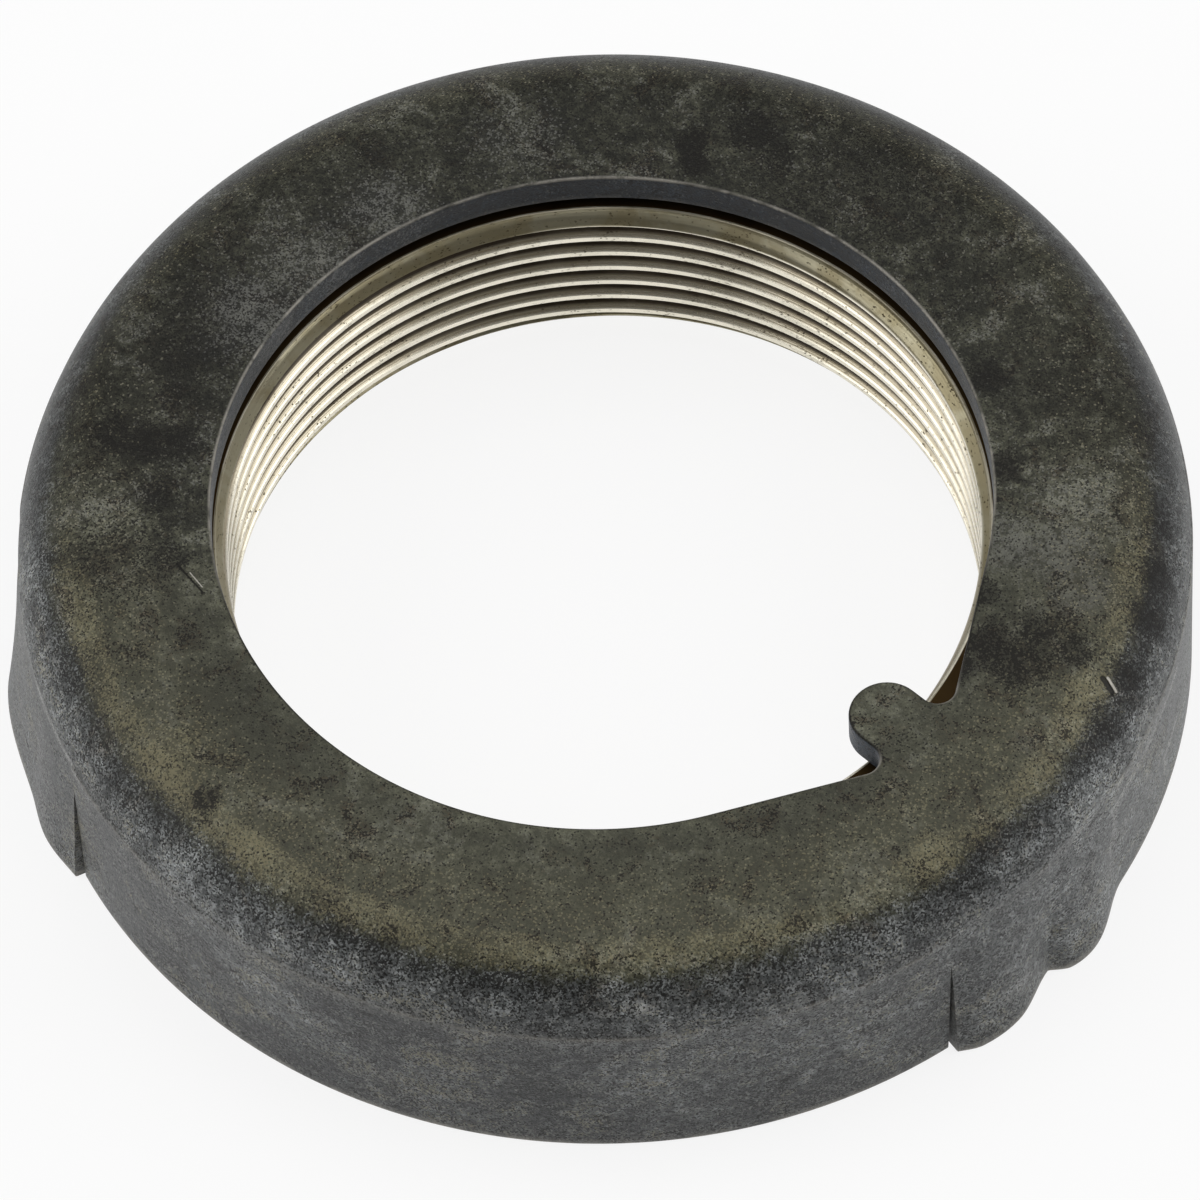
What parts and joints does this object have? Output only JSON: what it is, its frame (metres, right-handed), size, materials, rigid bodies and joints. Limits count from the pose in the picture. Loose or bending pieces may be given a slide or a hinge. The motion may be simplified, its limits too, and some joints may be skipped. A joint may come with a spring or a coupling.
{
  "type": "spindle nut",
  "caption": "Axle spindle nut: a drawn steel shell with a key tab and slit lobes round its skirt, and a finely threaded steel ring that turns inside it.",
  "frame": {"origin": "centre of the thread, on the axis, at half the nut's height", "axes": "+Z along the axis to the bearing face of the shell, +X at the tab in its hole"},
  "size_m": [0.0855, 0.0842, 0.0194],
  "materials": {
    "phosphated_shell": "black phosphate on drawn steel, mottled and rubbed grey on the skirt",
    "machined_nut": "bright turned steel with a cut thread",
    "spring_ring": "dark oiled spring steel"
  },
  "bodies": {
    "shell": {"keyed_shell": "phosphated_shell", "retaining_ring": "spring_ring"},
    "nut": {"threaded_nut": "machined_nut"}
  },
  "joints": [
    {"name": "nut_turn", "type": "hinge", "parent": "shell", "child": "nut", "pos_m": [0, 0, 0], "axis": [0, 0, 1], "continuous": true}
  ]
}
